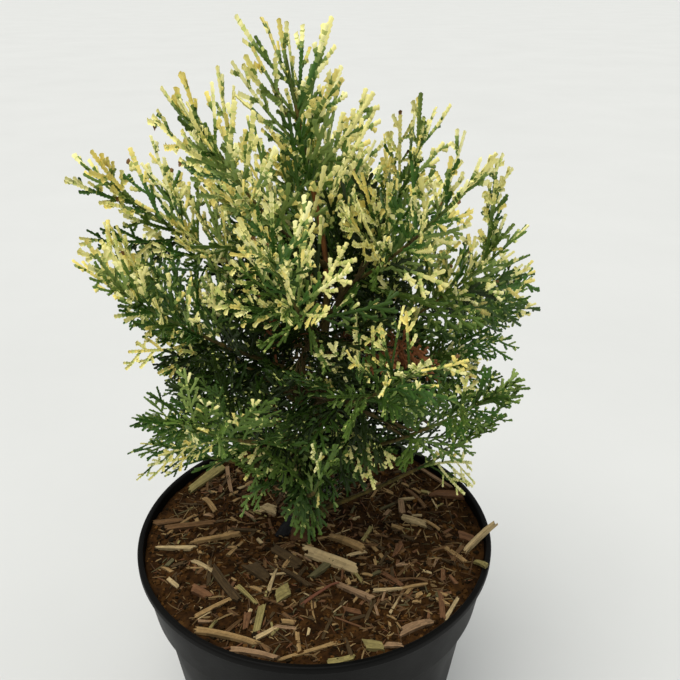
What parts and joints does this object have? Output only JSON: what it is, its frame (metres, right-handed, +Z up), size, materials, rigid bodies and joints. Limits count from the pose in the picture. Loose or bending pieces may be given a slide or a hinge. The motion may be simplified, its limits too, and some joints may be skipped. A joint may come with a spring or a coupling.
{
  "type": "potted thuja",
  "caption": "Dwarf conifer shrub with flat, cream-tipped sprays on boughs round one trunk, in a tapered nursery pot of soil topped with wood chips.",
  "frame": {"origin": "centre of the pot's flat underside", "axes": "+Z up; +X to the right and +Y away, as seen from the plant's front"},
  "size_m": [0.2169, 0.2037, 0.4131],
  "materials": {
    "black_plastic": "matt moulded black plastic with a slightly glossy lip",
    "potting_soil": "rough dark brown potting mix",
    "wood_chips": "split and weathered wood",
    "bark": "thin reddish-brown bark",
    "scale_leaves": "scale leaves, dark green inside the crown and cream-yellow at the tips"
  },
  "bodies": {
    "root": {"bough_high_15": "bark", "bough_high_16": "bark", "bough_high_17": "bark", "bough_high_18": "bark", "bough_high_19": "bark", "bough_high_20": "bark", "bough_high_21": "bark", "bough_low_01": "bark", "bough_low_02": "bark", "bough_low_03": "bark", "bough_low_04": "bark", "bough_low_05": "bark", "bough_low_06": "bark", "bough_low_07": "bark", "bough_mid_08": "bark", "bough_mid_09": "bark", "bough_mid_10": "bark", "bough_mid_11": "bark", "bough_mid_12": "bark", "bough_mid_13": "bark", "bough_mid_14": "bark", "chip_broad": "wood_chips", "chip_crossed": "wood_chips", "chip_curved": "wood_chips", "chip_dark": "wood_chips", "chip_front": "wood_chips", "chip_leaning": "wood_chips", "chip_long": "wood_chips", "chip_pink": "wood_chips", "chip_square": "wood_chips", "chip_stick": "wood_chips", "chip_wedge": "wood_chips", "chip_wide": "wood_chips", "foliage_high_15": "scale_leaves", "foliage_high_16": "scale_leaves", "foliage_high_17": "scale_leaves", "foliage_high_18": "scale_leaves", "foliage_high_19": "scale_leaves", "foliage_high_20": "scale_leaves", "foliage_high_21": "scale_leaves", "foliage_low_01": "scale_leaves", "foliage_low_02": "scale_leaves", "foliage_low_03": "scale_leaves", "foliage_low_04": "scale_leaves", "foliage_low_05": "scale_leaves", "foliage_low_06": "scale_leaves", "foliage_low_07": "scale_leaves", "foliage_mid_08": "scale_leaves", "foliage_mid_09": "scale_leaves", "foliage_mid_10": "scale_leaves", "foliage_mid_11": "scale_leaves", "foliage_mid_12": "scale_leaves", "foliage_mid_13": "scale_leaves", "foliage_mid_14": "scale_leaves", "foliage_top": "scale_leaves", "pot": "black_plastic", "soil": "potting_soil", "trunk": "bark"}
  },
  "joints": []
}
